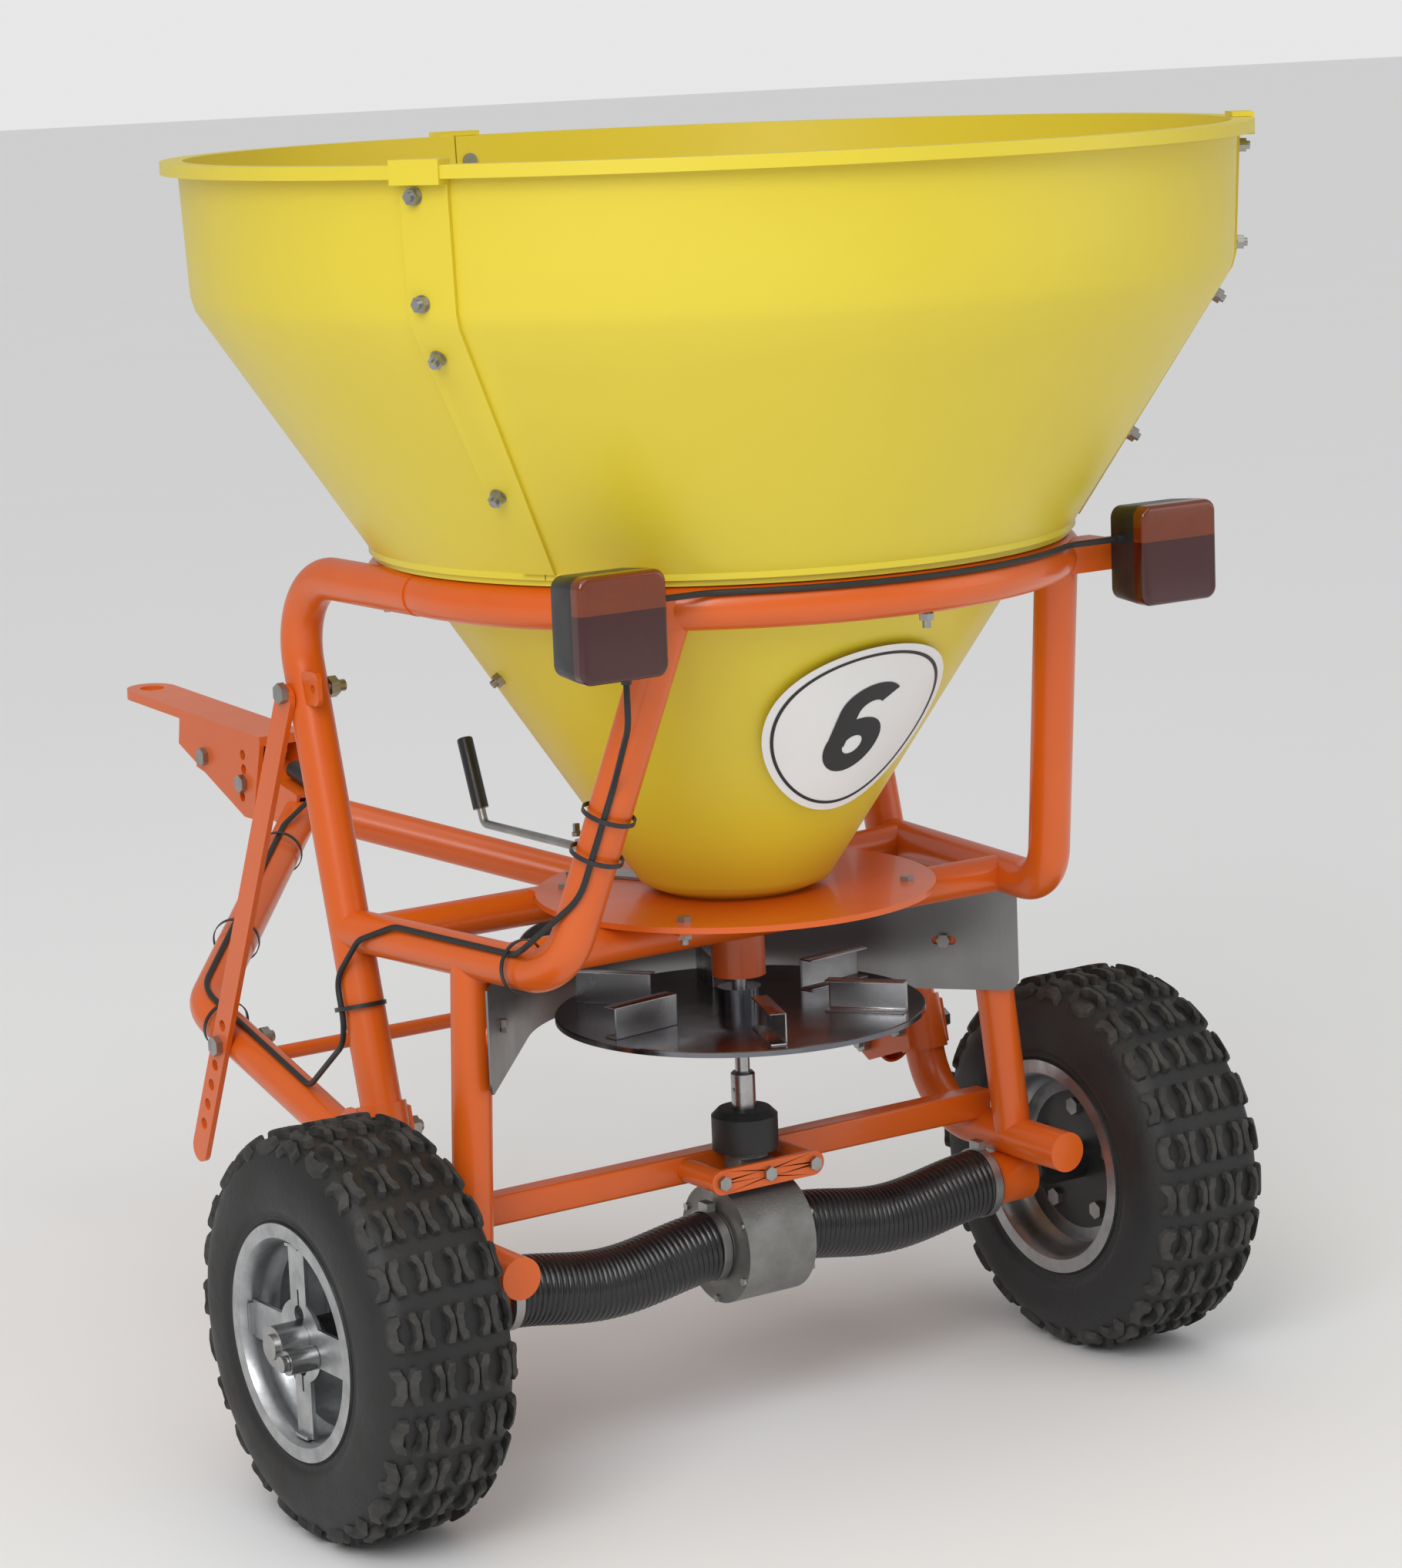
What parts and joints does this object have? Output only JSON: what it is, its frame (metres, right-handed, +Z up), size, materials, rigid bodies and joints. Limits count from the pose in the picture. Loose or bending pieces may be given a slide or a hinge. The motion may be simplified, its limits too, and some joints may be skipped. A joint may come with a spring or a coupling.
{
  "type": "towed broadcast spreader",
  "caption": "Towed garden spreader: round hopper on a bent-tube frame over a vaned disc that the left wheel turns, with drawbar and tail lamps.",
  "frame": {"origin": "on the ground under the hopper's axis, which is also over the axle", "axes": "+X to the machine's right, +Y forward to the tow eye, +Z up"},
  "size_m": [1.0949, 1.8515, 1.32],
  "materials": {
    "orange_paint": "smooth semi-gloss powder coat",
    "yellow_plastic": "moulded, satin",
    "steel": "plain bright zinc",
    "stainless": "stainless, lightly brushed",
    "galvanised": "zinc coated",
    "tyre": "black, worn pale on the knobs",
    "rubber": "black",
    "black_plastic": "black",
    "black_paint": "satin black",
    "amber_lens": "clear amber plastic",
    "red_lens": "clear red plastic"
  },
  "bodies": {
    "frame": {"seat_ring": "orange_paint", "front_legs": "orange_paint", "rear_uprights": "orange_paint", "cross_tubes": "orange_paint", "rear_posts": "orange_paint", "axle_arms": "orange_paint", "leg_sleeves": "orange_paint", "tie_bar": "orange_paint", "lamp_brackets": "orange_paint", "base_plate": "orange_paint", "drawbar_arms": "orange_paint", "drawbar_brace": "orange_paint", "drawbar_head": "orange_paint", "tongue": "orange_paint", "struts": "orange_paint", "link_plate": "orange_paint", "hopper_cone": "yellow_plastic", "hopper_left": "yellow_plastic", "hopper_rear": "yellow_plastic", "hopper_right": "yellow_plastic", "m8_bolts": "steel", "m12_bolts": "steel", "gearbox_screws": "steel", "axle_bearings": "steel", "disc_bearings": "steel", "hose_clamps": "steel", "spinner_guard": "stainless", "gearbox_case": "stainless", "gearbox_covers": "stainless", "axle_ducts": "rubber", "lighting_cables": "rubber", "lamp_bodies": "black_plastic", "cable_ties": "black_plastic", "hitch_plug": "black_plastic", "amber_lenses": "amber_lens", "red_lenses": "red_lens"},
    "left_wheel": {"tyre_left": "tyre", "rim_left": "galvanised", "hub_left": "black_paint", "hub_bolts_left": "steel", "wheel_spider": "galvanised", "drive_hub": "stainless", "axle_shaft": "steel", "crown_gear": "steel"},
    "drive_lock": {"lock_plunger": "stainless"},
    "right_wheel": {"tyre_right": "tyre", "rim_right": "galvanised", "hub_right": "black_paint", "hub_bolts_right": "steel"},
    "spinner": {"spinner_shaft": "stainless", "spinner_disc": "stainless", "vanes": "stainless", "coupling_cup": "rubber", "shaft_sleeve": "stainless", "bevel_pinion": "steel", "agitator": "stainless"},
    "gate": {"gate": "stainless", "lever_rod": "steel", "lever_grip": "black_plastic"},
    "lever_clamp": {"wing_bolt": "steel"}
  },
  "joints": [
    {"name": "left_wheel_spin", "type": "hinge", "parent": "frame", "child": "left_wheel", "pos_m": [-0.4612, 0, 0.203], "axis": [1, 0, 0], "continuous": true},
    {"name": "right_wheel_spin", "type": "hinge", "parent": "frame", "child": "right_wheel", "pos_m": [0.4612, 0, 0.203], "axis": [1, 0, 0], "continuous": true},
    {"name": "drive_lock_slide", "type": "slide", "parent": "left_wheel", "child": "drive_lock", "axis": [-1, 0, 0], "range_m": [0, 0.009]},
    {"name": "disc_spin", "type": "hinge", "parent": "frame", "child": "spinner", "pos_m": [0, 0, 0.444], "axis": [0, 0, 1], "continuous": true},
    {"name": "gate_swing", "type": "hinge", "parent": "frame", "child": "gate", "pos_m": [0, 0, 0.571], "axis": [0, 0, -1], "range_deg": [0, 40]},
    {"name": "lever_clamp_turn", "type": "hinge", "parent": "gate", "child": "lever_clamp", "pos_m": [-0.0799, 0.15682, 0.606], "axis": [0, 0, 1], "range_deg": [-90, 90]}
  ],
  "couplings": [
    {"joint": "disc_spin", "follows": "left_wheel_spin", "ratio": 4}
  ]
}
